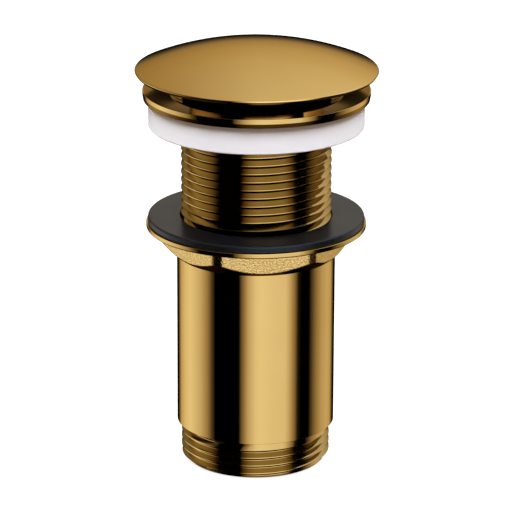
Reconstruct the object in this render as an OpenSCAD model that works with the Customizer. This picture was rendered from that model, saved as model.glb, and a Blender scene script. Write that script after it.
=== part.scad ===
// Pop-up basin waste: a push plug on a latching cartridge, a dished flange with a
// threaded tail, two washers and a back nut that clamp the basin, and a tail pipe.
// Millimetres. Z runs up the axis, and zero is the outlet end.

/* [Pipe threads] */
// Outside diameter of the two pipe threads
thread_d = 41.91; // [38:0.01:48]
// Pitch of the two pipe threads
thread_pitch = 2.309; // [1.5:0.001:3]
// Radial clearance between a thread and what screws onto it
thread_clear = 0.045; // [0.02:0.005:0.1]

/* [Tail pipe] */
// Height of the tail pipe
tail_h = 60.6; // [50:0.1:90]
// Wall of the tail pipe around its threaded socket
socket_wall = 1.15; // [0.8:0.05:3]
// Depth of the threaded socket
socket_h = 20; // [12:0.5:24]
// Width of the step that carries the gasket
gasket_seat = 1.6; // [1.2:0.1:2.4]
// Thickness of the gasket
gasket_t = 1.5; // [1:0.1:3]
// Height of the outlet thread
outlet_h = 10.7; // [7:0.1:16]
// Height of the slope from the outlet thread to the pipe
shoulder_h = 0.3; // [0.2:0.1:3]
// Wall inside the root of the outlet thread
outlet_wall = 1.3; // [0.8:0.1:2.5]

/* [Flange body] */
// Outside diameter of the flange
flange_d = 63.1; // [58:0.1:75]
// Thickness of the rounded rim
rim_t = 2.3; // [1.6:0.1:3]
// Depth of the dish from the rim to the bore
dish_depth = 10.3; // [8:0.1:12]
// Wall of the dish
dish_wall = 1.45; // [1:0.05:2]
// Wall of the threaded tail above the bridge
body_wall = 2.5; // [2.2:0.1:3.5]
// Width of the ledge that carries the bridge
ledge_w = 0.9; // [0.5:0.1:1.4]

/* [Washers and nut] */
// How far the tapered washer stands in from the flange
washer_inset = 1.55; // [0.5:0.05:4]
// Height of the tapered washer
washer_h = 7.85; // [6:0.05:10]
// Radial clearance of both washers on the thread
washer_clear = 0.3; // [0.1:0.05:1]
// Gap between the tapered washer and the flange
seat_gap = 0.15; // [0.05:0.05:0.3]
// Outside diameter of the clamp washer
clamp_d = 60.4; // [56:0.1:66]
// Thickness of the clamp washer
clamp_t = 1.95; // [1:0.05:4]
// Space for the basin between the two washers
clamp_gap = 25.85; // [22:0.05:40]
// Height of the back nut
nut_h = 8.95; // [7:0.05:14]
// Wall of the back nut across its flats
nut_wall = 2.5; // [1.8:0.1:4]
// How much is turned off the corners of the hexagon
corner_cut = 0.83; // [0.3:0.01:1.5]
// Thickness of the nut's round flange
nut_rim_t = 1.4; // [1:0.1:3]
// How far the nut's flange stands out past the clamp washer
nut_rim_w = 0.5; // [0.2:0.1:2]
// Turn of the hexagon about the axis in degrees
nut_turn = 6; // [0:1:59]

/* [Plug] */
// How far the cap stands out past the flange
cap_overhang = 2.1; // [1:0.1:4]
// Height of the dome above its edge
cap_rise = 7.35; // [5.5:0.05:10]
// Wall of the cap
cap_wall = 1.1; // [0.8:0.1:1.6]
// Height of the cap's edge above the flange when the plug is up
cap_lift = 5.4; // [5:0.1:7]
// Gap left between cap and flange when the plug is pressed down
stop_gap = 0.3; // [0.2:0.05:0.6]
// Radial clearance of the collar in the bore
collar_clear = 0.45; // [0.3:0.05:1]
// Wall of the collar
collar_wall = 2.4; // [2:0.1:3.2]
// Height of the collar's end above the bore when the plug is up
flow_gap = 1.9; // [1.2:0.1:2.6]
// Thickness of the collar's web
web_t = 2.2; // [1.5:0.1:3.5]
// Thickness of the plug seal
seal_d = 1.4; // [1:0.1:2]
// Diameter of the cap stud
stud_d = 6; // [5:0.5:8]

/* [Latch] */
// Diameter of the post's head
post_d = 12.2; // [11.6:0.1:14]
// Radial clearance of the sleeve on the post
guide_clear = 0.08; // [0.04:0.01:0.1]
// Wall of the sleeve
sleeve_wall = 3; // [2.8:0.1:4]
// Height of the solid top of the sleeve
sleeve_top_h = 6; // [5:0.1:9]
// Diameter of the hook's wire
wire_d = 1.2; // [1:0.1:1.4]
// Sideways swing of the hook's tip
swing = 2.6; // [2.2:0.1:3]
// Clearance of the hook's tip in its track
track_clear = 0.25; // [0.15:0.05:0.4]
// Diameter of the post's neck
neck_d = 9.2; // [8.8:0.1:10]
// Thickness of the stop clip
clip_t = 1; // [0.6:0.1:1.6]
// Diameter of the wire of the spring
coil_d = 0.8; // [0.5:0.05:1]
// Outside diameter of the spring
spring_d = 6.2; // [5.4:0.1:6.4]
// Turns of the spring
coil_turns = 8; // [5:1:10]
// Diameter of the post's threaded shank
shank_d = 10; // [8:0.5:12]
// Height of the bridge
bridge_h = 8; // [5:0.5:12]
// Thickness of the bridge's arms
arm_t = 3; // [2:0.1:5]

/* [Hidden] */
$fn = 96;
fine = 360;
slack = 0.05;
cut = 1;
edge = 0.4;
thin = 0.5;

// Thread and tail radii
thread_form = 0.6403;
thread_depth = thread_form * thread_pitch;
thread_crest = 0.3;
thread_r = thread_d / 2;
root_r = thread_r - thread_depth;
socket_r = thread_r + thread_clear;
tail_r = socket_r + socket_wall;
tail_bore_r = socket_r - gasket_seat;
outlet_r = root_r - outlet_wall;

// Heights of the stack, from the outlet up
shoulder_z = outlet_h + shoulder_h;
socket_z = tail_h - socket_h;
body_z = socket_z + gasket_t;
nut_z = tail_h;
nut_top = nut_z + nut_h;
clamp_top = nut_top + clamp_t;
washer_z = clamp_top + clamp_gap;
under_z = washer_z + washer_h;
rim_z = under_z + rim_t;
throat_z = rim_z - dish_depth;
edge_z = rim_z + cap_lift;

// Flange and its dish
flange_r = flange_d / 2;
lip_r = rim_t / 2;
lip_c = flange_r - lip_r;
bore_r = thread_r - body_wall;
ledge_r = bore_r - ledge_w;
dish_slope = dish_depth / (lip_c - bore_r);
dish_drop = dish_wall * sqrt(1 + pow(dish_slope, 2));
function dish_z(r) = throat_z + dish_slope * (r - bore_r);
neck_z = dish_z(thread_r) - dish_drop;
taper_r = min(lip_c, bore_r + (under_z + dish_drop - throat_z) / dish_slope);

// Washers and nut
washer_r = flange_r - washer_inset;
washer_hole_r = thread_r + washer_clear;
clamp_r = clamp_d / 2;
clamp_round = 0.6;
clamp_edge = min(clamp_round, clamp_t / 3);
nut_af = 2 * (socket_r + nut_wall);
hex_r = nut_af / 2 / cos(30);
corner_r = hex_r - corner_cut;
nut_rim_r = clamp_r + nut_rim_w;
nut_foot_w = 0.35;
nut_foot_r = tail_r + nut_foot_w;
nut_slope = 40;
bore_edge = 0.6;

// Cap: a spherical shell that ends in a round edge
cap_r = flange_r + cap_overhang;
cap_lip = cap_wall / 2;
cap_a = cap_r - cap_lip;
cap_ball = (pow(cap_a, 2) + pow(cap_rise, 2) - pow(cap_lip, 2)) / (2 * (cap_rise - cap_lip));
cap_c = edge_z + cap_rise - cap_ball;
cap_in = cap_ball - cap_wall;
travel = cap_c + sqrt(pow(cap_in, 2) - pow(lip_c, 2)) - rim_z - stop_gap;
boss_drop = 0.9;
boss_wall = 3.5;
boss_z = edge_z - boss_drop;
boss_r = stud_d / 2 + boss_wall;

// Collar and seal
collar_r = bore_r - collar_clear;
collar_in = collar_r - collar_wall;
collar_z = throat_z + flow_gap;
web_z = boss_z - web_t;
seal_r = seal_d / 2;
seal_clear = 0.1;
seal_c = bore_r - seal_clear - seal_r;
seal_z = collar_z + edge + seal_r;
stud_r = stud_d / 2;
stud_hole_r = stud_r + slack;
stud_pass_r = stud_r + 4 * slack;
stud_grip = 4.6;
stud_room = 0.4;

// Sleeve, from its top down
sleeve_roof = 1.2;
post_r = post_d / 2;
guide_r = post_r + guide_clear;
sleeve_r = guide_r + sleeve_wall;
ceiling_z = web_z - sleeve_top_h;
press_gap = 0.6;

// Hook: it hangs from a pivot in the sleeve, and its tip runs in the track of the post
wire_r = wire_d / 2;
pivot_z = ceiling_z + sleeve_top_h / 2;
head_top = ceiling_z - travel - press_gap;
lane_r = wire_r + track_clear;
lane_trim = 0.01;
lane_side = lane_r - lane_trim;
track_lid = 0.65;
track_sill = 1.4;
tip_z = head_top - lane_r - track_lid;
hook_arm = pivot_z - tip_z;
swing_a = asin(swing / hook_arm);
swing_rise = hook_arm * (1 - cos(swing_a));
tip_low = tip_z - travel + swing_rise;
pocket_floor = 0.95;
hook_clear = 0.15;
pocket_r = guide_r + pocket_floor;
pocket_x = swing + wire_r + 2 * hook_clear;
limb_r = pocket_r + hook_clear + wire_r;
pivot_in = stud_hole_r + sleeve_roof;
band_over = 2;

// Post, clip and bridge below the sleeve
spring_r = spring_d / 2;
spring_hole_r = spring_r + 2 * slack;
track_floor = 1.1;
track_r = spring_hole_r + track_floor;
neck_r = neck_d / 2;
head_z = tip_low - lane_r - track_sill;
clip_gap = 0.3;
clip_sink = 0.7;
clip_slot = 2.5;
clip_top = head_z - clip_gap;
clip_z = clip_top - clip_t;
clip_in = neck_r + 3 * slack;
clip_r = guide_r + clip_sink;
sleeve_lip = 2.5;
sleeve_z = clip_z - sleeve_lip;
base_top = sleeve_z - travel - press_gap;
base_h = 4;
base_step = 2.5;
base_af = neck_d + 2 * base_step;
base_z = base_top - base_h;
spring_sink = 2.3;
spring_z = head_z - spring_sink;
bump_r = 0.75;
shank_r = shank_d / 2;
shank_hole_r = shank_r + thread_clear;
bridge_z = base_z - bridge_h;
bridge_r = bore_r - slack;
bridge_ring = 1.6;
hub_wall = 3;
hub_r = shank_r + hub_wall;
bridge_clip_w = 1.6;
bridge_clip_slot = 6;
bridge_groove = 0.35;
lock_h = 5;
lock_wall = 3.5;
lock_af = shank_d + 2 * lock_wall;
lock_z = bridge_z - lock_h;
shank_end = 1.5;
shank_z = lock_z - shank_end;

// Spring path: flat end turns, and an even pitch between them
coil_steps = 24;
coil_sides = 8;
coil_r = coil_d / 2;
coil_mean = spring_r - coil_r;
coil_low = spring_z + slack + coil_r;
coil_high = ceiling_z - slack - coil_r;
end_rise = coil_d * 1.05;
mid_rise = (coil_high - coil_low - 2 * end_rise) / (coil_turns - 2);
function coil_z(t) = coil_low + end_rise * min(t, 1) + mid_rise * max(0, min(t, coil_turns - 1) - 1)
    + end_rise * max(0, t - coil_turns + 1);
function coil_point(t, a) = let (r = coil_mean + coil_r * cos(a))
    [r * cos(360 * t), r * sin(360 * t), coil_z(t) + coil_r * sin(a)];

brass = "#d8b46a";
satin = "#b89552";
steel = "#c4c6c8";
rubber = "#242424";
white = "#e6e6e4";

// Flat ring with a rounded outer edge on its top, its bottom or both
module ring(r_in, r_out, h, top = 0, bottom = 0) {
    rotate_extrude() {
        difference() {
            translate([r_in, 0]) square([r_out - r_in, h]);
            translate([r_out - top, h - top]) square(top + cut);
            translate([r_out - bottom, -cut]) square([bottom + cut, bottom + cut]);
        }
        if (top > 0) translate([r_out - top, h - top]) circle(top);
        if (bottom > 0) translate([r_out - bottom, bottom]) circle(bottom);
    }
}

// Hexagon bar by its width across the flats
module hexagon(af, h) {
    cylinder(r = af / 2 / cos(30), h = h, $fn = 6);
}

// Grooves of a pipe thread, as even rings of its depth and pitch
module thread_grooves(low, high) {
    count = floor((high - low) / thread_pitch);
    first = (low + high - (count - 1) * thread_pitch) / 2;
    mouth = (thread_pitch - thread_crest) / 2 * (1 + slack / thread_depth);
    for (i = [0:count - 1]) translate([thread_r, first + i * thread_pitch])
        polygon([[-thread_depth, 0], [slack, -mouth], [slack, mouth]]);
}

// Ring of round section
module o_ring(r, section) {
    rotate_extrude() translate([r, 0]) circle(section, $fn = 48);
}

// Snap ring with a gap at the back
module snap_ring(r_in, r_out, h, gap) {
    difference() {
        ring(r_in, r_out, h);
        translate([-gap / 2, 0, -cut]) cube([gap, r_out + cut, h + 2 * cut]);
    }
}

// Round bar along Y, from one distance in front of the axis to another
module bar_y(r, near, far, x, z) {
    translate([x, -near, z]) rotate([90, 0, 0]) cylinder(r = r, h = far - near);
}

// One straight lane of the track, as a flat outline with round ends
module lane(a, b) {
    way = b - a;
    translate(a) circle(lane_r);
    translate(b) circle(lane_r);
    translate(a) rotate(atan2(way[1], way[0])) translate([0, -lane_side])
        square([norm(way), 2 * lane_side]);
}

// Heart track: a lane down each side of an island with a notch below it
module heart_track() {
    lane([0, tip_z], [-swing, tip_low]);
    lane([0, tip_z], [swing, tip_low]);
    lane([-swing, tip_low], [swing, tip_low]);
    translate([0, tip_low + lane_r]) circle(lane_r);
}

module mushroom_cap() color(satin) difference() {
    union() {
        rotate_extrude() {
            intersection() {
                translate([0, cap_c]) difference() {
                    circle(cap_ball, $fn = fine);
                    circle(cap_in, $fn = fine);
                }
                polygon([[0, cap_c], [2 * cap_a, 2 * edge_z - cap_c], [0, 2 * edge_z - cap_c]]);
            }
            translate([cap_a, edge_z]) circle(cap_lip, $fn = 48);
        }
        translate([0, 0, boss_z]) cylinder(r = boss_r, h = cap_c + cap_in - boss_z);
    }
    translate([0, 0, boss_z - cut]) cylinder(r = stud_hole_r, h = stud_grip + stud_room + cut);
}

module cap_stud() color(steel) {
    translate([0, 0, web_z - stud_grip]) cylinder(r = stud_r, h = web_t + 2 * stud_grip);
}

module plug_collar() color(brass) difference() {
    translate([0, 0, collar_z]) ring(stud_pass_r, collar_r, boss_z - collar_z, edge, edge);
    translate([0, 0, collar_z - cut]) cylinder(r = collar_in, h = web_z - collar_z + cut);
    translate([0, 0, seal_z - seal_r - slack])
        ring(seal_c - seal_r - slack, collar_r + cut, seal_d + 2 * slack);
}

module plug_seal() color(rubber) translate([0, 0, seal_z]) o_ring(seal_c, seal_r);

module latch_sleeve() color(brass) difference() {
    translate([0, 0, sleeve_z]) cylinder(r = sleeve_r, h = web_z - sleeve_z);
    translate([0, 0, sleeve_z - cut]) cylinder(r = guide_r, h = ceiling_z - sleeve_z + cut);
    translate([0, 0, ceiling_z + sleeve_roof]) cylinder(r = stud_hole_r, h = sleeve_top_h);
    translate([0, 0, clip_z - slack]) cylinder(r = clip_r + slack, h = clip_t + 2 * slack);
    translate([-pocket_x, -sleeve_r - cut, tip_z - lane_r])
        cube([2 * pocket_x, sleeve_r + cut - pocket_r, hook_arm + 2 * lane_r]);
    translate([-pocket_x, -pocket_r - cut, tip_z - lane_r])
        cube([2 * pocket_x, pocket_r + cut - guide_r / 2, 2 * lane_r + swing_rise]);
    bar_y(wire_r + slack, pivot_in, pocket_r + cut, 0, pivot_z);
}

module hook_band() color(steel) translate([0, 0, tip_z - band_over]) {
    ring(sleeve_r + slack, sleeve_r + slack + thin, hook_arm + 2 * band_over);
}

module stop_clip() color(steel) translate([0, 0, clip_z]) {
    snap_ring(clip_in, clip_r, clip_t, clip_slot);
}

module latch_hook() color(steel) {
    bar_y(wire_r, pivot_in + slack, limb_r, 0, pivot_z);
    bar_y(wire_r, track_r + 2 * slack, limb_r, 0, tip_z);
    translate([0, -limb_r, tip_z]) cylinder(r = wire_r, h = hook_arm);
    for (z = [tip_z, pivot_z]) translate([0, -limb_r, z]) sphere(wire_r);
}

module latch_spring() color(steel) {
    rings = coil_steps * coil_turns;
    points = [for (i = [0:rings], k = [0:coil_sides - 1])
        coil_point(i / coil_steps, -360 * k / coil_sides)];
    sides = [for (i = [0:rings - 1], k = [0:coil_sides - 1])
        let (n = (k + 1) % coil_sides, low = i * coil_sides, high = low + coil_sides)
        [low + k, low + n, high + n, high + k]];
    first = [for (k = [coil_sides - 1:-1:0]) k];
    last = [for (k = [0:coil_sides - 1]) rings * coil_sides + k];
    polyhedron(points, concat(sides, [first, last]));
}

module latch_post() color(brass) difference() {
    union() {
        translate([0, 0, head_z]) cylinder(r = post_r, h = head_top - head_z);
        translate([0, 0, base_z]) cylinder(r = neck_r, h = head_z - base_z + cut);
        translate([0, 0, base_z]) hexagon(base_af, base_h);
        translate([0, 0, shank_z]) cylinder(r = shank_r, h = base_z - shank_z + cut);
    }
    translate([0, 0, spring_z]) cylinder(r = spring_hole_r, h = head_top - spring_z + cut);
    translate([0, -track_r, 0]) rotate([90, 0, 0]) linear_extrude(post_r) heart_track();
}

module bump_ring() color(rubber) translate([0, 0, base_top + bump_r]) {
    o_ring(neck_r + slack + bump_r, bump_r);
}

module latch_bridge() color(brass) translate([0, 0, bridge_z]) {
    ring(bridge_r - bridge_ring, bridge_r, bridge_h);
    ring(shank_hole_r, hub_r, bridge_h);
    for (a = [45:90:315]) rotate(a) translate([(shank_hole_r + hub_r) / 2, -arm_t / 2, 0])
        cube([bridge_r - bridge_ring / 2 - (shank_hole_r + hub_r) / 2, arm_t, bridge_h]);
}

module bridge_clip() color(steel) translate([0, 0, base_z + slack]) {
    snap_ring(bore_r - bridge_clip_w, bore_r + bridge_groove - slack, clip_t, bridge_clip_slot);
}

module post_lock_nut() color(brass) translate([0, 0, lock_z]) difference() {
    hexagon(lock_af, lock_h);
    translate([0, 0, -cut]) cylinder(r = shank_hole_r, h = lock_h + 2 * cut);
}

module flange_body() color(brass) difference() {
    rotate_extrude() {
        difference() {
            polygon([[ledge_r, body_z], [thread_r - edge, body_z], [thread_r, body_z + edge],
                [thread_r, neck_z], [taper_r, under_z], [lip_c, under_z], [lip_c, rim_z],
                [bore_r, throat_z], [bore_r, bridge_z], [ledge_r, bridge_z]]);
            thread_grooves(body_z + edge, neck_z);
        }
        translate([lip_c, under_z + lip_r]) circle(lip_r, $fn = 48);
    }
    translate([0, 0, base_z]) cylinder(r = bore_r + bridge_groove, h = clip_t + 2 * slack);
}

module flange_washer() color(white) rotate_extrude() difference() {
    union() {
        translate([washer_hole_r, washer_z + edge]) square([washer_r - washer_hole_r, washer_h - edge]);
        translate([washer_hole_r, washer_z]) square([washer_r - edge - washer_hole_r, washer_h]);
        translate([washer_r - edge, washer_z + edge]) circle(edge, $fn = 48);
    }
    translate([0, -seat_gap]) polygon([[0, neck_z], [thread_r, neck_z], [taper_r, under_z],
        [2 * flange_r, under_z], [2 * flange_r, rim_z + cut], [0, rim_z + cut]]);
}

module clamp_washer() color(rubber) translate([0, 0, nut_top]) {
    ring(washer_hole_r, clamp_r, clamp_t, clamp_edge, clamp_edge / 2);
}

module back_nut() color(brass) translate([0, 0, nut_z]) difference() {
    union() {
        translate([0, 0, nut_h - nut_rim_t]) ring(socket_r, nut_rim_r, nut_rim_t, edge, edge);
        intersection() {
            rotate(nut_turn) hexagon(nut_af, nut_h - nut_rim_t / 2);
            cylinder(r = corner_r, h = nut_h);
            cylinder(r1 = nut_foot_r, r2 = nut_foot_r + nut_h / tan(nut_slope), h = nut_h);
        }
    }
    translate([0, 0, -cut]) cylinder(r = socket_r, h = nut_h + 2 * cut);
    translate([0, 0, nut_h - bore_edge])
        cylinder(r1 = socket_r, r2 = socket_r + bore_edge + cut, h = bore_edge + cut);
}

module tail_pipe() color(brass) rotate_extrude() {
    polygon([[outlet_r, 0], [root_r, 0], [thread_r, thread_depth], [thread_r, outlet_h],
        [tail_r, shoulder_z], [tail_r, tail_h - edge], [tail_r - edge, tail_h], [socket_r, tail_h],
        [socket_r, socket_z], [tail_bore_r, socket_z],
        [tail_bore_r, shoulder_z + tail_bore_r - outlet_r], [outlet_r, shoulder_z]]);
}

module tail_gasket() color(rubber) translate([0, 0, socket_z]) {
    ring(tail_bore_r + 2 * slack, socket_r - 2 * slack, gasket_t);
}

mushroom_cap();
cap_stud();
plug_collar();
plug_seal();
latch_sleeve();
hook_band();
stop_clip();
latch_hook();
latch_spring();
latch_post();
bump_ring();
latch_bridge();
bridge_clip();
post_lock_nut();
flange_body();
flange_washer();
clamp_washer();
back_nut();
tail_pipe();
tail_gasket();
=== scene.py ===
import bpy
import bmesh
import math
from mathutils import Matrix, Vector


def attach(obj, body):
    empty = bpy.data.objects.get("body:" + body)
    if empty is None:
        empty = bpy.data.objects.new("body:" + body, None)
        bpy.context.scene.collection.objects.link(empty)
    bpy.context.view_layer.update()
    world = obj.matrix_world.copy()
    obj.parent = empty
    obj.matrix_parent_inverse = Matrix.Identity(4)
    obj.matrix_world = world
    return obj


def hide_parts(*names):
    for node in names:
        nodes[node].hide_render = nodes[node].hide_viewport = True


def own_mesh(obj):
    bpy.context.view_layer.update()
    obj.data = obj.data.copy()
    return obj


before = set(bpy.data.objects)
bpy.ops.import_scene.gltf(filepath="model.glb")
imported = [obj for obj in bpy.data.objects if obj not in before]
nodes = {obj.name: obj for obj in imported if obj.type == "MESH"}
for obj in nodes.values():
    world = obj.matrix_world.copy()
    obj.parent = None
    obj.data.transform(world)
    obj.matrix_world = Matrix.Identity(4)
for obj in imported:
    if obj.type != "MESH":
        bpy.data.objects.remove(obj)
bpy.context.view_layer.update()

scene = bpy.context.scene
milli = 0.001


# small helpers for node trees

def addNode(tree, kind, **values):
    node = tree.nodes.new(kind)
    for key, value in values.items():
        setattr(node, key, value)
    return node


def join(tree, source, target):
    tree.links.new(source, target)


def feed(tree, socket, value):
    if isinstance(value, bpy.types.NodeSocket):
        join(tree, value, socket)
    else:
        socket.default_value = value


def calc(tree, operation, first, second=0.0, clamp=False):
    node = addNode(tree, "ShaderNodeMath", operation=operation, use_clamp=clamp)
    feed(tree, node.inputs[0], first)
    feed(tree, node.inputs[1], second)
    return node.outputs[0]


def rampOf(tree, factor, stops, interpolation="LINEAR"):
    node = addNode(tree, "ShaderNodeValToRGB")
    band = node.color_ramp
    band.interpolation = interpolation
    while len(band.elements) < len(stops):
        band.elements.new(0.5)
    for element, (place, colour) in zip(band.elements, stops):
        element.position = place
        if isinstance(colour, (int, float)):
            colour = (colour, colour, colour)
        element.color = (*colour, 1.0)
    feed(tree, node.inputs[0], factor)
    return node.outputs[0]


# shared surface effects, each built once

def startGroup(name, inputs, outputs):
    group = bpy.data.node_groups.new(name, "ShaderNodeTree")
    for label, kind, value in inputs:
        socket = group.interface.new_socket(name=label, in_out="INPUT", socket_type=kind)
        socket.default_value = value
    for label, kind in outputs:
        group.interface.new_socket(name=label, in_out="OUTPUT", socket_type=kind)
    entry = group.nodes.new("NodeGroupInput")
    leave = group.nodes.new("NodeGroupOutput")
    place = group.nodes.new("ShaderNodeTexCoord")
    return group, entry, leave, place.outputs["Object"]


def makeToneDrift():    # slow change of a coating's colour
    group, entry, leave, place = startGroup(
        "toneDrift",
        [("Light", "NodeSocketColor", (0.8, 0.8, 0.8, 1)), ("Deep", "NodeSocketColor", (0.7, 0.7, 0.7, 1)),
         ("Scale", "NodeSocketFloat", 60.0)],
        [("Color", "NodeSocketColor")])
    noise = addNode(group, "ShaderNodeTexNoise")
    join(group, place, noise.inputs["Vector"])
    join(group, entry.outputs["Scale"], noise.inputs["Scale"])
    noise.inputs["Detail"].default_value = 3.0
    mix = addNode(group, "ShaderNodeMix", data_type="RGBA")
    share = rampOf(group, noise.outputs["Fac"], [(0.3, 0.0), (0.7, 1.0)], "EASE")
    join(group, share, mix.inputs["Factor"])
    join(group, entry.outputs["Light"], mix.inputs["A"])
    join(group, entry.outputs["Deep"], mix.inputs["B"])
    join(group, mix.outputs["Result"], leave.inputs["Color"])
    return group


def makeHandling():    # faint smears that change the roughness
    group, entry, leave, place = startGroup(
        "handling",
        [("Base", "NodeSocketFloat", 0.2), ("Spread", "NodeSocketFloat", 0.05),
         ("Scale", "NodeSocketFloat", 80.0)],
        [("Roughness", "NodeSocketFloat")])
    noise = addNode(group, "ShaderNodeTexNoise")
    join(group, place, noise.inputs["Vector"])
    join(group, entry.outputs["Scale"], noise.inputs["Scale"])
    noise.inputs["Detail"].default_value = 4.0
    noise.inputs["Distortion"].default_value = 0.6
    swing = calc(group, "SUBTRACT", noise.outputs["Fac"], 0.5)
    swing = calc(group, "MULTIPLY", swing, entry.outputs["Spread"])
    rough = calc(group, "ADD", swing, entry.outputs["Base"], True)
    join(group, rough, leave.inputs["Roughness"])
    return group


def makeTurning():    # fine lines left by the lathe, round the axis
    group, entry, leave, place = startGroup(
        "turning", [("Lines", "NodeSocketFloat", 4000.0)], [("Height", "NodeSocketFloat")])
    slant = 0.83    # the lines then cross flat faces as well as walls
    split = addNode(group, "ShaderNodeSeparateXYZ")
    join(group, place, split.inputs[0])
    across = calc(group, "MULTIPLY", split.outputs["X"], split.outputs["X"])
    along = calc(group, "MULTIPLY", split.outputs["Y"], split.outputs["Y"])
    radius = calc(group, "SQRT", calc(group, "ADD", across, along))
    path = calc(group, "ADD", calc(group, "MULTIPLY", radius, slant), split.outputs["Z"])
    noise = addNode(group, "ShaderNodeTexNoise", noise_dimensions="1D")
    join(group, path, noise.inputs["W"])
    join(group, entry.outputs["Lines"], noise.inputs["Scale"])
    noise.inputs["Detail"].default_value = 2.0
    join(group, noise.outputs["Fac"], leave.inputs["Height"])
    return group


def makeGrain():    # moulded or blasted skin
    group, entry, leave, place = startGroup(
        "grain",
        [("Scale", "NodeSocketFloat", 2000.0), ("Pits", "NodeSocketFloat", 0.5)],
        [("Height", "NodeSocketFloat")])
    noise = addNode(group, "ShaderNodeTexNoise")
    join(group, place, noise.inputs["Vector"])
    join(group, entry.outputs["Scale"], noise.inputs["Scale"])
    noise.inputs["Detail"].default_value = 3.0
    cells = addNode(group, "ShaderNodeTexVoronoi")
    join(group, place, cells.inputs["Vector"])
    join(group, entry.outputs["Scale"], cells.inputs["Scale"])
    pits = calc(group, "MULTIPLY", cells.outputs["Distance"], entry.outputs["Pits"])
    height = calc(group, "ADD", noise.outputs["Fac"], pits)
    join(group, height, leave.inputs["Height"])
    return group


toneDrift = makeToneDrift()
handling = makeHandling()
turning = makeTurning()
grain = makeGrain()


def useGroup(tree, group, **values):
    node = addNode(tree, "ShaderNodeGroup", node_tree=group)
    for key, value in values.items():
        node.inputs[key].default_value = value
    return node


def finishOf(name, look):
    material = bpy.data.materials.new(name)
    material.use_nodes = True
    tree = material.node_tree
    shader = tree.nodes["Principled BSDF"]
    shader.inputs["Metallic"].default_value = look["metal"]
    for key, value in look.get("sockets", {}).items():
        shader.inputs[key].default_value = value
    light = (*look["light"], 1)
    deep = (*look["deep"], 1)
    tone = useGroup(tree, toneDrift, Light=light, Deep=deep, Scale=look["drift"])
    join(tree, tone.outputs["Color"], shader.inputs["Base Color"])
    smear = useGroup(tree, handling, Base=look["rough"], Spread=look["spread"], Scale=look["smears"])
    join(tree, smear.outputs["Roughness"], shader.inputs["Roughness"])
    bump = addNode(tree, "ShaderNodeBump")
    bump.inputs["Strength"].default_value = look["bump"]
    bump.inputs["Distance"].default_value = look["depth"]
    if "lines" in look:
        height = useGroup(tree, turning, Lines=look["lines"]).outputs["Height"]
    else:
        height = useGroup(tree, grain, Scale=look["grain"], Pits=look["pits"]).outputs["Height"]
    join(tree, height, bump.inputs["Height"])
    join(tree, bump.outputs["Normal"], shader.inputs["Normal"])
    return material


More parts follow.
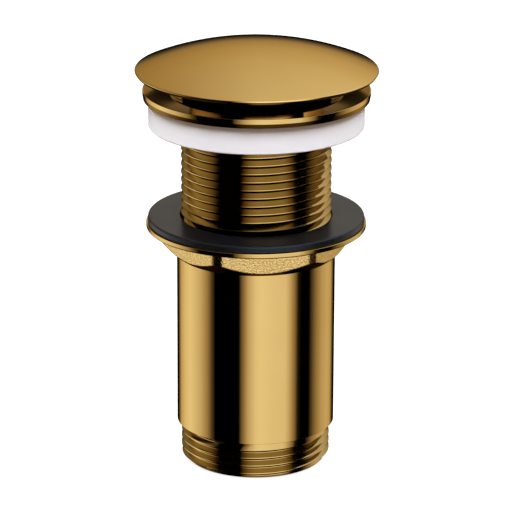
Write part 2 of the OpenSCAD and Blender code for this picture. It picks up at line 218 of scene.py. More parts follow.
goldEdge = (0.92, 0.78, 0.52, 1)    # tint of the gold at glancing angles
looks = {
    "polishedGold": {
        "metal": 1.0, "light": (0.80, 0.555, 0.205), "deep": (0.785, 0.535, 0.19), "drift": 50.0,
        "rough": 0.05, "spread": 0.02, "smears": 70.0, "lines": 5200.0, "bump": 0.05, "depth": 0.000002,
        "sockets": {"Specular Tint": goldEdge}},
    "satinGold": {
        "metal": 1.0, "light": (0.80, 0.555, 0.205), "deep": (0.78, 0.535, 0.19), "drift": 40.0,
        "rough": 0.09, "spread": 0.02, "smears": 60.0, "grain": 5200.0, "pits": 0.3, "bump": 0.03,
        "depth": 0.000004, "sockets": {"Specular Tint": goldEdge}},
    # painted shade: a darker copy of the gold for the thread flanks
    "paintedShadeFlankGold": {
        "metal": 1.0, "light": (0.50, 0.37, 0.16), "deep": (0.485, 0.355, 0.15), "drift": 90.0,
        "rough": 0.08, "spread": 0.03, "smears": 120.0, "lines": 5200.0, "bump": 0.05, "depth": 0.000002,
        "sockets": {"Specular Tint": goldEdge}},
    # painted shade: a dark brown copy of the gold for faces that lie in shade, the flange's dish and undercut
    # and the nut's chamfer
    "paintedShadeGold": {
        "metal": 1.0, "light": (0.30, 0.172, 0.046), "deep": (0.29, 0.165, 0.043), "drift": 60.0,
        "rough": 0.07, "spread": 0.03, "smears": 70.0, "lines": 5200.0, "bump": 0.05, "depth": 0.000002,
        "sockets": {"Specular Tint": goldEdge}},
    # painted shade: a near-black matt coat for the cap's underside, standing in for the shade under the dome
    "paintedShadeInside": {
        "metal": 0.0, "light": (0.020, 0.017, 0.012), "deep": (0.014, 0.012, 0.009), "drift": 120.0,
        "rough": 0.55, "spread": 0.1, "smears": 120.0, "grain": 2400.0, "pits": 0.4, "bump": 0.2,
        "depth": 0.00002},
    "forgedGold": {
        "metal": 1.0, "light": (0.90, 0.65, 0.27), "deep": (0.60, 0.40, 0.145), "drift": 2600.0,
        "rough": 0.1, "spread": 0.08, "smears": 2600.0, "grain": 2500.0, "pits": 0.9, "bump": 1.0,
        "depth": 0.00005, "sockets": {"Specular Tint": goldEdge}},
    "plainBrass": {
        "metal": 1.0, "light": (0.72, 0.55, 0.27), "deep": (0.66, 0.48, 0.21), "drift": 120.0,
        "rough": 0.24, "spread": 0.08, "smears": 150.0, "lines": 3800.0, "bump": 0.3, "depth": 0.00001},
    "stainlessWire": {
        "metal": 1.0, "light": (0.63, 0.63, 0.62), "deep": (0.55, 0.55, 0.55), "drift": 150.0,
        "rough": 0.22, "spread": 0.06, "smears": 200.0, "grain": 3000.0, "pits": 0.3, "bump": 0.15,
        "depth": 0.00001},
    "blackRubber": {
        "metal": 0.0, "light": (0.006, 0.006, 0.007), "deep": (0.005, 0.005, 0.006), "drift": 120.0,
        "rough": 0.3, "spread": 0.08, "smears": 120.0, "grain": 2600.0, "pits": 0.4, "bump": 0.2,
        "depth": 0.00003, "sockets": {"Specular IOR Level": 0.36, "Specular Tint": (0.72, 0.9, 1.22, 1)}},
    "whiteWasher": {
        "metal": 0.0, "light": (0.88, 0.88, 0.89), "deep": (0.86, 0.86, 0.87), "drift": 60.0,
        "rough": 0.45, "spread": 0.06, "smears": 90.0, "grain": 2400.0, "pits": 0.2, "bump": 0.08,
        "depth": 0.00002},
}
finishes = {name: finishOf(name, look) for name, look in looks.items()}
print("stage: finishes made")


# outlines and turned solids; outlines are (radius, height, corner radius) in millimetres

def softOutline(corners, closed=True, parts=5, hold=0.12, most=0.48):
    points = []
    count = len(corners)
    for i, (r, z, f) in enumerate(corners):
        here = Vector((r, z))
        if f <= 0 or (not closed and i in (0, count - 1)):
            points.append(here)
            continue
        back = Vector(corners[i - 1][:2]) - here
        ahead = Vector(corners[(i + 1) % count][:2]) - here
        angle = back.angle(ahead)
        reach = min(f / math.tan(angle / 2), most * back.length, most * ahead.length)
        start = here + back.normalized() * reach
        stop = here + ahead.normalized() * reach
        for k in range(parts + 1):
            t = k / parts
            points.append((1 - t) ** 2 * start + 2 * t * (1 - t) * here + t * t * stop)
    longWall = 6 * hold
    held = []
    for i, point in enumerate(points):
        held.append(point)
        if not closed and i == len(points) - 1:
            break
        gap = points[(i + 1) % len(points)] - point
        if gap.length > longWall:    # keeps its shading straight
            step = gap.normalized() * hold
            held.append(point + step)
            held.append(point + gap - step)
    return held


def arcOf(r, z, radius, start, stop, parts):
    angles = [math.radians(start + (stop - start) * k / parts) for k in range(parts + 1)]
    return [Vector((r + radius * math.cos(a), z + radius * math.sin(a))) for a in angles]


def ringRows(outline, steps):
    rows = []
    for r, z in outline:
        turn = [2 * math.pi * i / steps for i in range(steps)]
        rows.append([(r * math.cos(a), r * math.sin(a), z) for a in turn])
    return rows


def addRows(bm, rows, closed=False, twist=0, mark=0):
    grid = [[bm.verts.new(Vector(p) * milli) for p in row] for row in rows]
    steps = len(rows[0])
    last = len(rows) - 1
    made = []
    for j in range(len(rows) if closed else last):
        up = (j + 1) % len(rows)
        for i in range(steps):
            if i < steps - 1:
                made.append(bm.faces.new((grid[j][i], grid[j][i + 1], grid[up][i + 1], grid[up][i])))
            else:    # a helix meets its own next turn at the seam
                low = min(j + twist, last)
                high = (low + 1) % len(rows) if twist == 0 else min(j + 1 + twist, last)
                corners = [grid[j][i], grid[low][0], grid[high][0], grid[up][i]]
                if len(set(corners)) > 2:
                    made.append(bm.faces.new(list(dict.fromkeys(corners))))
    for face in made:
        face.material_index = mark
    return made


steep = 0.5    # a thread face that tilts more than this is a flank


def paintFlankShade(faces):    # thread flanks take a darker copy of the gold as painted shade, crests and roots are polished
    for face in faces:
        face.normal_update()
        face.material_index = 1 if abs(face.normal.z) > steep else 0


weld = 2e-6    # metres, nearer points become one
sliver = 5e-7


def closeMesh(name, bm, finish, body, node, crease=35.0):
    bmesh.ops.remove_doubles(bm, verts=bm.verts, dist=weld)
    bmesh.ops.dissolve_degenerate(bm, edges=bm.edges, dist=sliver)
    bmesh.ops.recalc_face_normals(bm, faces=bm.faces)
    mesh = bpy.data.meshes.new(name)
    bm.to_mesh(mesh)
    bm.free()
    mesh.shade_smooth()
    mesh.set_sharp_from_angle(angle=math.radians(crease))
    piece = bpy.data.objects.new(name, mesh)
    scene.collection.objects.link(piece)
    for one in finish if isinstance(finish, list) else [finish]:
        mesh.materials.append(one)
    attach(piece, body)
    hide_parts(node)
    return piece


# pipe thread: flat crests, straight flanks, and a flat or sharp root

def threadCell(form):
    half = form["pitch"] / 2
    depth = (half - form["crestFlat"] / 2 - form["rootFlat"] / 2) / math.tan(math.radians(form["flank"]))
    cell = [(-half, 0.0), (-half + form["crestFlat"] / 2, 0.0), (-form["rootFlat"] / 2, depth)]
    if form["rootFlat"] > 0:
        cell.append((form["rootFlat"] / 2, depth))
    return cell + [(half - form["crestFlat"] / 2, 0.0)]


def threadRows(form, low, high, crest, phase, steps, foot, endFade):
    pitch = form["pitch"]
    cell = threadCell(form)
    turns = int((high - low) / pitch + 3)    # with spare turns, which the ends cut off
    rows = []
    for k in range(turns):
        for offset, depth in cell:
            row = []
            for i in range(steps):
                middle = low + phase + pitch * (k - 1 + i / steps)    # the groove's own height here
                z = min(max(middle + offset, low), high)
                share = endFade(middle)
                r = crest - depth * share
                if z <= low or z >= high:
                    r = crest
                r = min(r, foot(z))
                a = 2 * math.pi * i / steps
                row.append((r * math.cos(a), r * math.sin(a), z))
            rows.append(row)
    return rows, len(cell)


def easeStep(low, high, value):
    t = min(max((value - low) / (high - low), 0.0), 1.0)
    return t * t * (3 - 2 * t)


# tail pipe with its threaded outlet

tailPipe = {
    "outletBore": 18.1765, "root": 19.4765, "crest": 20.955, "threadTop": 11.0, "stepRound": 0.06,
    "outside": 22.15, "top": 60.6, "lip": 0.12, "lipRound": 0.25, "rimRound": 0.15,
    "socket": 21.0, "socketFloor": 40.6, "floorRound": 0.05, "bore": 19.4, "boreRound": 0.2,
    "slopeRound": 0.3, "footRound": 0.25, "runout": 9.87, "fade": 0.55, "phase": 1.1545, "steps": 200,
    "thread": {"pitch": 2.309, "crestFlat": 0.26, "rootFlat": 0.16, "flank": 34.0}}


def buildTailPipe(size):
    bm = bmesh.new()
    slope = size["bore"] - size["outletBore"]
    outline = softOutline([
        (size["crest"], size["threadTop"], 0),
        (size["outside"], size["threadTop"], size["stepRound"]),
        (size["outside"], size["top"] - size["lip"], size["lipRound"]),
        (size["outside"] - size["lip"], size["top"], size["rimRound"]),
        (size["socket"], size["top"], size["rimRound"]),
        (size["socket"], size["socketFloor"], size["floorRound"]),
        (size["bore"], size["socketFloor"], size["boreRound"]),
        (size["bore"], size["threadTop"] + slope, size["slopeRound"]),
        (size["outletBore"], size["threadTop"], size["slopeRound"]),
        (size["outletBore"], 0.0, size["footRound"]),
        (size["root"], 0.0, 0)], closed=False)
    addRows(bm, ringRows(outline, size["steps"]))
    foot = lambda z: size["root"] + max(z, 0.0)    # chamfer at the outlet
    endFade = lambda z: 1 - easeStep(size["runout"] - size["fade"], size["runout"], z)
    rows, twist = threadRows(
        size["thread"], 0.0, size["threadTop"], size["crest"], size["phase"], size["steps"], foot, endFade)
    paintFlankShade(addRows(bm, rows, twist=twist))
    coats = [finishes[name] for name in ("polishedGold", "paintedShadeFlankGold")]
    return closeMesh("tail_pipe_turned", bm, coats, "waste_body", "tail_pipe")


# flange body: dished flange, threaded tail, ledge and groove for the bridge

flangeBody = {
    "ledge": 17.555, "ledgeRound": 0.15, "foot": 42.1, "footRound": 0.25, "chamfer": 0.4, "chamferRound": 0.1,
    "crest": 20.955, "neck": 97.44, "taper": 29.95, "taperRound": 0.05, "under": 105.12, "underRound": 0.1,
    "rim": 31.55, "rimFoot": 106.35, "rimTop": 107.6, "rimRound": 0.1, "rimFlat": 0.25, "undercut": 0.2,
    "shelf": (24.0, 106.6), "shoulder": (20.5, 104.6), "dishRound": 0.8,
    "bore": 18.455, "throat": 97.2, "throatWall": 2.0, "bridge": 66.53, "boreRound": 0.05,
    "groove": 74.53, "grooveHeight": 1.1, "grooveDepth": 0.35, "grooveRound": 0.03,
    "fadeFrom": 0.8, "fadeTo": 0.3, "phase": -0.1, "steps": 192,    # the fade is counted in pitches
    "thread": {"pitch": 2.309, "crestFlat": 0.2, "rootFlat": 0.0, "flank": 35.0}}


def buildFlangeBody(size):
    bm = bmesh.new()
    grooveTop = size["groove"] + size["grooveHeight"]
    grooveWall = size["bore"] + size["grooveDepth"]
    dishTop = size["rim"] - size["rimFlat"]
    dishFoot = size["throat"] - size["throatWall"]
    low = size["foot"] + size["chamfer"]
    high = size["neck"]
    lower = softOutline([
        (size["crest"], size["neck"], 0),
        (size["taper"], size["under"], size["taperRound"]),
        (size["rim"] - size["undercut"], size["under"], size["underRound"]),
        (size["rim"], size["rimFoot"], 0)], closed=False)
    wall = softOutline([
        (size["rim"], size["rimFoot"], 0),
        (size["rim"], size["rimTop"], size["rimRound"]),
        (dishTop, size["rimTop"], 0)], closed=False)
    dish = softOutline([
        (dishTop, size["rimTop"], 0),
        (*size["shelf"], size["dishRound"]),
        (*size["shoulder"], size["dishRound"]),
        (size["bore"], size["throat"], size["dishRound"]),
        (size["bore"], dishFoot, 0)], closed=False)
    inside = softOutline([
        (size["bore"], dishFoot, 0),
        (size["bore"], grooveTop, size["boreRound"]),
        (grooveWall, grooveTop, size["grooveRound"]),
        (grooveWall, size["groove"], size["grooveRound"]),
        (size["bore"], size["groove"], size["boreRound"]),
        (size["bore"], size["bridge"], size["boreRound"]),
        (size["ledge"], size["bridge"], size["ledgeRound"]),
        (size["ledge"], size["foot"], size["footRound"]),
        (size["crest"] - size["chamfer"], size["foot"], size["chamferRound"]),
        (size["crest"], low, 0)], closed=False)
    # the undercut below the rim and the dish take the painted shade gold (mark 2)
    for outline, mark in ((lower, 2), (wall, 0), (dish, 2), (inside, 0)):
        addRows(bm, ringRows(outline, size["steps"]), mark=mark)
    pitch = size["thread"]["pitch"]
    fadeLow = high - size["fadeFrom"] * pitch
    fadeHigh = high - size["fadeTo"] * pitch
    foot = lambda z: size["crest"]    # no chamfer of its own
    endFade = lambda z: easeStep(low, low + pitch, z) * (1 - easeStep(fadeLow, fadeHigh, z))
    rows, twist = threadRows(
        size["thread"], low, high, size["crest"], size["phase"], size["steps"], foot, endFade)
    paintFlankShade(addRows(bm, rows, twist=twist))
    coats = [finishes[name] for name in ("polishedGold", "paintedShadeFlankGold", "paintedShadeGold")]
    return closeMesh("flange_body_turned", bm, coats, "waste_body", "flange_body")


# domed cap with a rolled edge and the boss that takes the stud

mushroomCap = {
    "ball": 84.51, "wall": 0.8, "edge": 112.9, "rise": 7.35, "outside": 33.65, "lip": 0.36, "lipEnd": -30,
    "skirt": (33.26, 112.3), "foot": (32.75, 112.25), "footRound": 0.1, "inside": 32.5,
    "bossRadius": 6.5, "bossFoot": 112.0, "bossRound": 0.3, "hole": 3.05, "holeRound": 0.2, "holeTop": 117.0,
    "holeTopRound": 0.05, "domeParts": 56, "lipParts": 18, "underParts": 40, "crease": 50.0, "steps": 224}


def buildCap(size):
    bm = bmesh.new()
    centre = size["edge"] + size["rise"] - size["ball"]
    inner = size["ball"] - size["wall"]
    lipMiddle = size["outside"] - size["lip"]
    reach = size["ball"] - size["lip"]
    lean = math.degrees(math.acos(lipMiddle / reach))
    lipHeight = centre + reach * math.sin(math.radians(lean))
    dome = arcOf(0.0, centre, size["ball"], 90, lean, size["domeParts"])
    edge = arcOf(lipMiddle, lipHeight, size["lip"], lean, size["lipEnd"], size["lipParts"])
    skirt = [edge[-1], Vector(size["skirt"])]
    underEdge = math.degrees(math.acos(size["inside"] / inner))
    underTop = math.degrees(math.acos(size["bossRadius"] / inner))
    under = arcOf(0.0, centre, inner, underEdge, underTop, size["underParts"])
    lip = softOutline([
        (*size["skirt"], 0),
        (*size["foot"], size["footRound"]),
        (*under[0], 0)], closed=False)
    boss = softOutline([
        (*under[-1], 0),
        (size["bossRadius"], size["bossFoot"], size["bossRound"]),
        (size["hole"], size["bossFoot"], size["holeRound"]),
        (size["hole"], size["holeTop"], size["holeTopRound"]),
        (0.0, size["holeTop"], 0)], closed=False)
    # the lip, the underside and the boss take the painted shade coat (mark 1)
    for outline, mark in ((dome + edge[1:], 0), (skirt, 0), (lip, 1), (under, 1), (boss, 1)):
        addRows(bm, ringRows(outline, size["steps"]), mark=mark)
    coats = [finishes[name] for name in ("satinGold", "paintedShadeInside")]
    return closeMesh("mushroom_cap_turned", bm, coats, "plug", "mushroom_cap",
                     size["crease"])


# collar of the plug and the seal in its groove

plugCollar = {
    "outside": 18.005, "inside": 15.605, "foot": 99.1, "footRound": 0.25, "web": 109.8, "webRound": 0.5,
    "top": 112.0, "topRound": 0.4, "hole": 3.2, "edgeRound": 0.1, "sealRing": 17.655, "sealSection": 0.7,
    "sealHeight": 100.2, "sealParts": 20, "slack": 0.05, "steps": 192}


def buildCollar(size):
    bm = bmesh.new()
    low = size["sealHeight"] - size["sealSection"] - size["slack"]
    high = size["sealHeight"] + size["sealSection"] + size["slack"]
    depth = size["sealRing"] - size["sealSection"] - size["slack"]
    outline = softOutline([
        (size["outside"], size["top"], size["topRound"]),
        (size["outside"], high, size["edgeRound"]),
        (depth, high, size["edgeRound"]),
        (depth, low, size["edgeRound"]),
        (size["outside"], low, size["edgeRound"]),
        (size["outside"], size["foot"], size["footRound"]),
        (size["inside"], size["foot"], size["footRound"]),
        (size["inside"], size["web"], size["webRound"]),
        (size["hole"], size["web"], size["edgeRound"]),
        (size["hole"], size["top"], size["edgeRound"])])
    addRows(bm, ringRows(outline, size["steps"]), closed=True)
    return closeMesh("plug_collar_turned", bm, finishes["polishedGold"], "plug", "plug_collar")


def buildSeal(size):
    bm = bmesh.new()
    ring = arcOf(size["sealRing"], size["sealHeight"], size["sealSection"], 0, 360, size["sealParts"])[:-1]
    addRows(bm, ringRows(ring, size["steps"]), closed=True)
    return closeMesh("plug_seal_ring", bm, finishes["blackRubber"], "plug", "plug_seal")


# tapered white washer under the flange, and the rubber clamp washer

flangeWasher = {
    "hole": 21.255, "holeRound": 0.06, "outside": 30.0, "foot": 97.35, "footRound": 0.4, "innerTop": 97.549,
    "taper": 29.95, "top": 105.05, "topRound": 0.02, "steps": 192}


def buildFlangeWasher(size):
    bm = bmesh.new()
    outline = softOutline([
        (size["hole"], size["foot"], size["holeRound"]),
        (size["outside"], size["foot"], size["footRound"]),
        (size["outside"], size["top"], size["topRound"]),
        (size["taper"], size["top"], size["topRound"]),
        (size["hole"], size["innerTop"], size["holeRound"])])
    addRows(bm, ringRows(outline, size["steps"]), closed=True)
    return closeMesh("flange_washer_moulded", bm, finishes["whiteWasher"], "waste_body", "flange_washer")


clampWasher = {
    "hole": 21.255, "holeFootRound": 0.1, "holeTopRound": 0.2, "outside": 30.2,
    "foot": 69.55, "footRound": 0.3, "top": 71.5, "topRound": 0.6, "steps": 192}


def buildClampWasher(size):
    bm = bmesh.new()
    outline = softOutline([
        (size["hole"], size["foot"], size["holeFootRound"]),
        (size["outside"], size["foot"], size["footRound"]),
        (size["outside"], size["top"], size["topRound"]),
        (size["hole"], size["top"], size["holeTopRound"])])
    addRows(bm, ringRows(outline, size["steps"]), closed=True)
    return closeMesh("clamp_washer_moulded", bm, finishes["blackRubber"], "washer", "clamp_washer")


# back nut: forged hexagon with turned corners, a chamfered foot and a round flange

backNut = {
    "foot": 60.6, "footInside": 21.6, "top": 69.55, "bore": 21.0, "boreEdge": 0.6, "boreRound": 0.1,
    "footRadius": 22.5, "footSlope": 40.0, "sides": 6, "flat": 23.5, "corner": 26.31, "turn": 6.0,
    "soft": 0.25, "rim": 30.7, "rimInside": 27.6, "rimThick": 1.4, "rimRound": 0.4, "rimTopRound": 0.12,
    "fillet": 0.6, "filletAngles": (20, 40, 60, 75, 90), "chamferRows": 30, "rowHeight": 0.12, "flatRows": 6,
    "shade": 65.0, "shadeTilt": 0.35, "crease": 50.0, "steps": 360}


def softLeast(a, b, blend):    # the lesser of two, with a rounded change from one to the other
    near = max(blend - abs(a - b), 0.0) / blend
    return min(a, b) - near * near * blend / 4


def nutSide(size, angle, z):
    sector = 360 / size["sides"]
    half = sector / 2
    turned = math.degrees(angle) - size["turn"]
    local = math.radians(turned % sector - half)    # from the middle of its flat
    r = softLeast(size["flat"] / math.cos(local), size["corner"], size["soft"])
    cone = size["footRadius"] + (z - size["foot"]) / math.tan(math.radians(size["footSlope"]))
    r = softLeast(r, cone, size["soft"])
    under = size["top"] - size["rimThick"]
    t = min(max((z - under + size["fillet"]) / size["fillet"], 0.0), 1.0)
    return r + size["fillet"] * (1 - math.sqrt(1 - t * t))


def nutHeights(size, under):    # close rows over the chamfer, few over the flats, then the fillet
    filletFoot = under - size["fillet"]
    heights = [size["foot"] + size["rowHeight"] * k for k in range(size["chamferRows"])]
    rise = filletFoot - heights[-1]
    flats = [heights[-1] + rise * k / size["flatRows"] for k in range(1, size["flatRows"] + 1)]
    bend = [under - size["fillet"] * (1 - math.sin(math.radians(a))) for a in size["filletAngles"]]
    return heights + flats + bend


def buildNut(size):
    bm = bmesh.new()
    under = size["top"] - size["rimThick"]
    turns = [2 * math.pi * i / size["steps"] for i in range(size["steps"])]
    side = []
    for z in nutHeights(size, under):
        radii = [nutSide(size, a, z) for a in turns]
        side.append([(r * math.cos(a), r * math.sin(a), z) for r, a in zip(radii, turns)])
    sideFaces = addRows(bm, side)
    rim = softOutline([
        (size["rimInside"], under, 0),
        (size["rim"], under, size["rimRound"]),
        (size["rim"], size["top"], size["rimTopRound"]),
        (size["bore"] + size["boreEdge"], size["top"], size["boreRound"]),
        (size["bore"], size["top"] - size["boreEdge"], size["boreRound"]),
        (size["bore"], size["foot"], size["boreRound"]),
        (size["footInside"], size["foot"], 0)], closed=False)
    rimRows = ringRows(rim, size["steps"])
    for rows in ([side[-1], rimRows[0]], rimRows, [rimRows[-1], side[0]]):
        addRows(bm, rows, mark=1)
    for face in sideFaces:
        face.normal_update()
        low = face.calc_center_median().z < size["shade"] * milli
        if low and abs(face.normal.z) > size["shadeTilt"]:    # the chamfer, which takes the painted shade gold
            face.material_index = 2
    coats = [finishes[name] for name in ("forgedGold", "polishedGold", "paintedShadeGold")]
    return closeMesh("back_nut_forged", bm, coats, "nut", "back_nut", size["crease"])


# spring inside the post, which shortens as the plug goes down

latchSpring = {
    "foot": 86.2947, "top": 103.75, "outside": 3.1, "wire": 0.4, "turns": 8, "endRise": 0.84, "travel": 5.6,
    "steps": 36, "sides": 12}


def buildSpring(size):
    bm = bmesh.new()
    low = size["foot"] + size["wire"]
    high = size["top"] - size["wire"]
    lastTurn = size["turns"] - 1
    middleRise = (high - low - 2 * size["endRise"]) / (size["turns"] - 2)
    rows = []
    for i in range(size["steps"] * size["turns"] + 1):
        t = i / size["steps"]
        z = low + size["endRise"] * (min(t, 1) + max(t - lastTurn, 0))    # flat end turns
        z += middleRise * (min(max(t, 1), lastTurn) - 1)
        a = 2 * math.pi * t
        section = arcOf(size["outside"] - size["wire"], z, size["wire"], 0, 360, size["sides"])[:-1]
        rows.append([(r * math.cos(a), r * math.sin(a), h) for r, h in section])
    addRows(bm, rows)
    bm.verts.ensure_lookup_table()
    for start in (0, len(bm.verts) - size["sides"]):
        bm.faces.new(bm.verts[start:start + size["sides"]])
    piece = closeMesh("latch_spring_coil", bm, finishes["stainlessWire"], "waste_body", "latch_spring")
    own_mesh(piece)


buildTailPipe(tailPipe)
buildFlangeBody(flangeBody)
buildCap(mushroomCap)
buildCollar(plugCollar)
buildSeal(plugCollar)
buildFlangeWasher(flangeWasher)
buildClampWasher(clampWasher)
buildNut(backNut)
buildSpring(latchSpring)
print("stage: turned pieces made")

# inner pieces keep their CAD shape and take a finish
innerFinish = {
    "cap_stud": "stainlessWire", "latch_sleeve": "plainBrass", "hook_band": "stainlessWire",
    "stop_clip": "stainlessWire", "latch_hook": "stainlessWire", "latch_post": "plainBrass",
    "bump_ring": "blackRubber", "latch_bridge": "plainBrass", "bridge_clip": "stainlessWire",
    "post_lock_nut": "plainBrass", "tail_gasket": "blackRubber"}
for name, finish in innerFinish.items():
    nodes[name].data.materials.clear()
    nodes[name].data.materials.append(finishes[finish])
print("stage: inner pieces finished")

# studio: soft boxes left, in front and right, one overhead, and dark gaps between them;
# directions are in degrees, round from the front or up from level
studio = {
    "boxes": [(-180, 0.0), (-157, 0.0), (-151, 0.1), (-142, 0.62), (-127, 0.88), (-112, 1.0), (-100, 0.86),
              (-88, 0.7), (-76, 0.42), (-68, 0.1), (-62, 0.0), (-30, 0.0), (-24, 0.0), (-18, 0.28),
              (-11, 0.64), (0, 0.94), (7, 1.0), (24, 0.94), (44, 0.9), (51, 0.66), (58, 0.34), (64, 0.02),
              (70, 0.0), (85, 0.0), (91, 0.1), (101, 0.36), (112, 0.58), (130, 0.72), (142, 0.6),
              (151, 0.1), (157, 0.0), (180, 0.0)],
    "frontReach": [(-90, 0.18), (-33, 0.18), (-24.5, 1.0), (66, 1.0), (84, 0.0), (90, 0.0)],
    "sideReach": [(-90, 0.03), (-31, 0.03), (-24, 1.0), (-6, 1.0), (8, 0.25), (40, 0.2), (60, 0.0),
                  (90, 0.0)],
    "front": [(-180, 0.0), (-75, 0.0), (-60, 1.0), (66, 1.0), (80, 0.0), (180, 0.0)],
    "hot": [(-90, 0.0), (-8, 0.0), (4, 1.0), (62, 1.0), (70, 0.0), (90, 0.0)],
    "hotLevel": 0.6,
    "overhead": [(-180, 0.0), (-4, 0.0), (2, 0.1), (9, 0.42), (18, 0.56), (34, 0.67), (60, 0.73), (100, 0.73),
                 (135, 0.0), (180, 0.0)],    # up from the back and over
    "leanRight": 0.44, "leanLeft": 1.06, "leanLeast": 0.15,    # the overhead box fades to the left
    "tint": [(0.0, 0.0), (0.45, (0.455, 0.366, 0.25)), (1.0, 1.0)],
    "soft": [(-90, 0.01), (0, (0.018, 0.011, 0.006)), (38, (0.05, 0.03, 0.016)), (49, (0.95, 1.0, 1.09)),
             (69, (0.95, 1.0, 1.09)), (77, 0.1), (90, 0.05)],
    "softLevel": 8.6}


def rampOver(tree, factor, span, stops):
    return rampOf(tree, factor, [(a / span + 0.5, v) for a, v in stops])


def buildWorld(values):
    world = bpy.data.worlds.new("studio")
    scene.world = world
    world.use_nodes = True
    world.cycles.sampling_method = "NONE"
    tree = world.node_tree
    tree.nodes.clear()
    place = addNode(tree, "ShaderNodeTexCoord")
    split = addNode(tree, "ShaderNodeSeparateXYZ")
    join(tree, place.outputs["Generated"], split.inputs[0])
    x, y, z = split.outputs
    full = 1 / (2 * math.pi)
    bearing = calc(tree, "ARCTAN2", x, calc(tree, "MULTIPLY", y, -1.0))
    bearing = calc(tree, "ADD", calc(tree, "MULTIPLY", bearing, full), 0.5)
    boxes = rampOver(tree, bearing, 360, values["boxes"])
    height = calc(tree, "ARCSINE", z)
    height = calc(tree, "ADD", calc(tree, "MULTIPLY", height, 1 / math.pi), 0.5)
    reach = addNode(tree, "ShaderNodeMix", data_type="RGBA")
    front = rampOver(tree, bearing, 360, values["front"])
    join(tree, front, reach.inputs["Factor"])
    join(tree, rampOver(tree, height, 180, values["sideReach"]), reach.inputs["A"])
    join(tree, rampOver(tree, height, 180, values["frontReach"]), reach.inputs["B"])
    boxes = calc(tree, "MULTIPLY", boxes, reach.outputs["Result"])
    over = calc(tree, "ARCTAN2", z, y)
    over = calc(tree, "ADD", calc(tree, "MULTIPLY", over, full), 0.5)
    overhead = rampOver(tree, over, 360, values["overhead"])
    right = calc(tree, "MULTIPLY", calc(tree, "MAXIMUM", x, 0.0), values["leanRight"])
    left = calc(tree, "MULTIPLY", calc(tree, "MINIMUM", x, 0.0), values["leanLeft"])
    lean = calc(tree, "ADD", calc(tree, "ADD", right, left), 1.0)
    overhead = calc(tree, "MULTIPLY", overhead, calc(tree, "MAXIMUM", lean, values["leanLeast"]))
    level = calc(tree, "MAXIMUM", boxes, overhead)
    light = rampOf(tree, level, values["tint"])
    shown = addNode(tree, "ShaderNodeBackground")
    join(tree, light, shown.inputs["Color"])
    hot = rampOver(tree, height, 180, values["hot"])
    hot = calc(tree, "MULTIPLY", calc(tree, "MULTIPLY", hot, front), values["hotLevel"])
    join(tree, calc(tree, "ADD", hot, 1.0), shown.inputs["Strength"])
    plain = addNode(tree, "ShaderNodeBackground")
    join(tree, rampOver(tree, height, 180, values["soft"]), plain.inputs["Color"])
    plain.inputs["Strength"].default_value = values["softLevel"]
    white = addNode(tree, "ShaderNodeBackground")
    white.inputs["Color"].default_value = (1, 1, 1, 1)
    ray = addNode(tree, "ShaderNodeLightPath")
    mirror = calc(tree, "MAXIMUM", ray.outputs["Is Glossy Ray"], ray.outputs["Is Transmission Ray"])
    direct = calc(tree, "LESS_THAN", ray.outputs["Diffuse Depth"], 0.5)    # not by way of matt pieces
    mirror = calc(tree, "MULTIPLY", mirror, direct)
    first = addNode(tree, "ShaderNodeMixShader")
    join(tree, mirror, first.inputs[0])
    join(tree, plain.outputs[0], first.inputs[1])
    join(tree, shown.outputs[0], first.inputs[2])
    second = addNode(tree, "ShaderNodeMixShader")
    join(tree, ray.outputs["Is Camera Ray"], second.inputs[0])
    join(tree, first.outputs[0], second.inputs[1])
    join(tree, white.outputs[0], second.inputs[2])
    leave = addNode(tree, "ShaderNodeOutputWorld")
    join(tree, second.outputs[0], leave.inputs[0])


buildWorld(studio)

# pale floor that stays white in the picture and keeps a soft shadow
floorLook = {
    "half": 4.0, "height": -0.0002, "colour": (0.06, 0.046, 0.036, 1), "shown": (0.16, 0.16, 0.16, 1),
    "glow": 0.82}


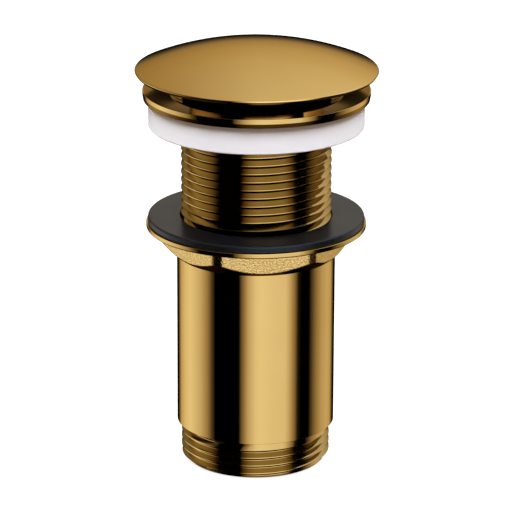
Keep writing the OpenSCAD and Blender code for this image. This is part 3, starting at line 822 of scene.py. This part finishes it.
def buildFloor(values):
    mesh = bpy.data.meshes.new("floor")
    half = values["half"]
    z = values["height"]
    corners = [(-half, -half, z), (half, -half, z), (half, half, z), (-half, half, z)]
    mesh.from_pydata(corners, [], [(0, 1, 2, 3)])
    floor = bpy.data.objects.new("floor", mesh)
    scene.collection.objects.link(floor)
    material = bpy.data.materials.new("paleFloor")
    material.use_nodes = True
    tree = material.node_tree
    tree.nodes.clear()
    paint = addNode(tree, "ShaderNodeBsdfDiffuse")
    paint.inputs["Color"].default_value = values["colour"]
    seen = addNode(tree, "ShaderNodeBsdfDiffuse")
    seen.inputs["Color"].default_value = values["shown"]
    glow = addNode(tree, "ShaderNodeEmission")
    glow.inputs["Strength"].default_value = values["glow"]
    total = addNode(tree, "ShaderNodeAddShader")
    join(tree, seen.outputs[0], total.inputs[0])
    join(tree, glow.outputs[0], total.inputs[1])
    ray = addNode(tree, "ShaderNodeLightPath")
    mix = addNode(tree, "ShaderNodeMixShader")
    join(tree, ray.outputs["Is Camera Ray"], mix.inputs[0])
    join(tree, paint.outputs[0], mix.inputs[1])
    join(tree, total.outputs[0], mix.inputs[2])
    leave = addNode(tree, "ShaderNodeOutputMaterial")
    join(tree, mix.outputs[0], leave.inputs[0])
    mesh.materials.append(material)
    floor.visible_glossy = False


buildFloor(floorLook)
print("stage: studio made")

# camera as the picture was taken
view = {
    "distance": 0.943, "elevation": 18.372, "aim": (0.0, 0.0, 0.05895), "lens": 236.6, "sensor": 36.0,
    "nearest": 0.05, "roll": 0.23}


def buildCamera(values):
    data = bpy.data.cameras.new("camera")
    data.sensor_width = values["sensor"]
    data.lens = values["lens"]
    data.clip_start = values["nearest"]
    camera = bpy.data.objects.new("camera", data)
    scene.collection.objects.link(camera)
    lift = math.radians(values["elevation"])
    aim = Vector(values["aim"])
    spot = aim + values["distance"] * Vector((0, -math.cos(lift), math.sin(lift)))
    turn = (aim - spot).to_track_quat("-Z", "Y").to_matrix().to_4x4()
    roll = Matrix.Rotation(math.radians(values["roll"]), 4, "Z")
    camera.matrix_world = Matrix.Translation(spot) @ turn @ roll
    scene.camera = camera


buildCamera(view)
scene.view_settings.view_transform = "Standard"
scene.cycles.glossy_bounces = 1    # keeps the inside of the plug dark
